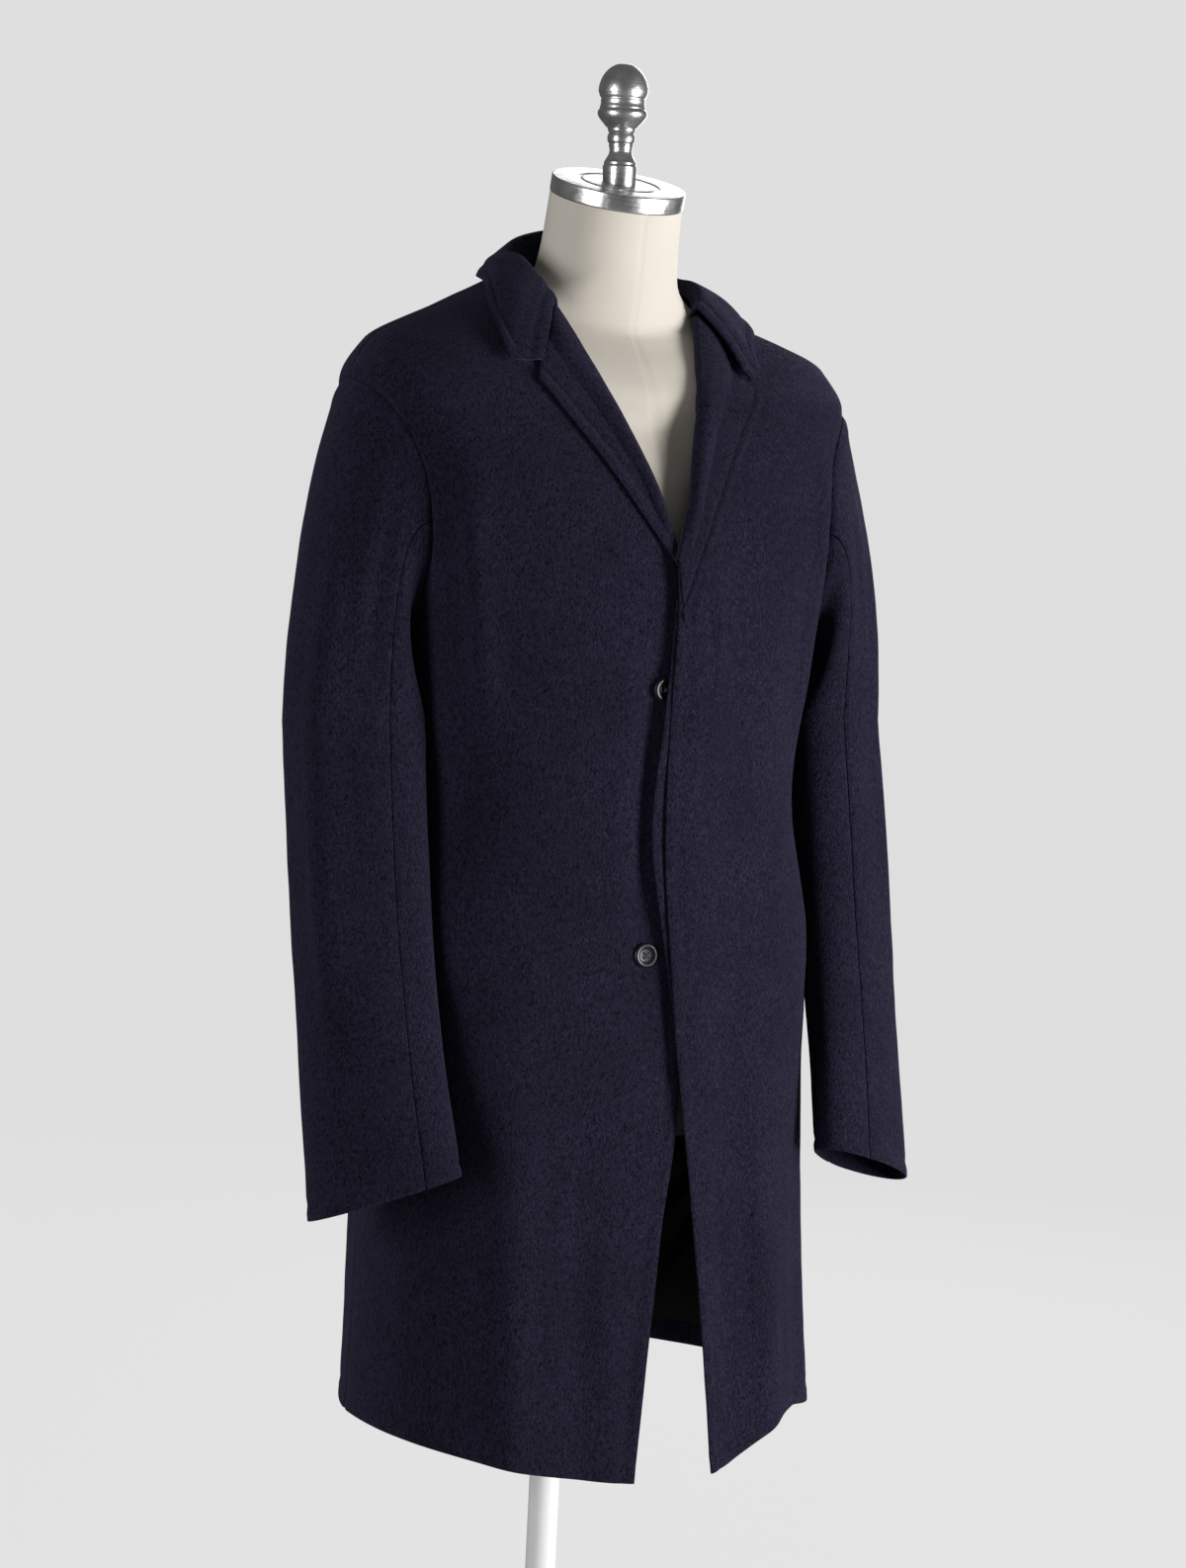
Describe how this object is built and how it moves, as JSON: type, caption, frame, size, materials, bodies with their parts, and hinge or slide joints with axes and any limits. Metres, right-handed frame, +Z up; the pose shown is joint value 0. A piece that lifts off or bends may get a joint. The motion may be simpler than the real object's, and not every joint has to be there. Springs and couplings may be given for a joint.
{
  "type": "wool overcoat on a dress form",
  "caption": "Single-breasted knee-length wool overcoat with notch lapels and a concealed front, on a limbless dress form with a pole stand.",
  "frame": {"origin": "centre of the underside of the stand's base plate", "axes": "+Z up; the coat's front faces -Y; +X is towards the wearer's left"},
  "size_m": [0.5303, 0.4025, 1.6658],
  "materials": {
    "navy_wool": "brushed dark navy wool",
    "black_lining": "smooth black satin",
    "black_button": "polished black",
    "natural_cloth": "stretched natural cloth",
    "turned_aluminium": "turned and brushed",
    "pale_painted_steel": "satin"
  },
  "bodies": {
    "root": {"front_left": "navy_wool", "front_right": "navy_wool", "back": "navy_wool", "lapel_left": "navy_wool", "lapel_right": "navy_wool", "collar": "navy_wool", "top_sleeve_left": "navy_wool", "top_sleeve_right": "navy_wool", "under_sleeve_left": "navy_wool", "under_sleeve_right": "navy_wool", "fly": "navy_wool", "back_lining": "black_lining", "cuff_lining_left": "black_lining", "cuff_lining_right": "black_lining", "button_1": "black_button", "button_2": "black_button", "button_3": "black_button", "button_4": "black_button", "form_body": "natural_cloth", "form_cap": "turned_aluminium", "form_finial": "turned_aluminium", "stand_pole": "pale_painted_steel", "stand_base": "pale_painted_steel"}
  },
  "joints": []
}
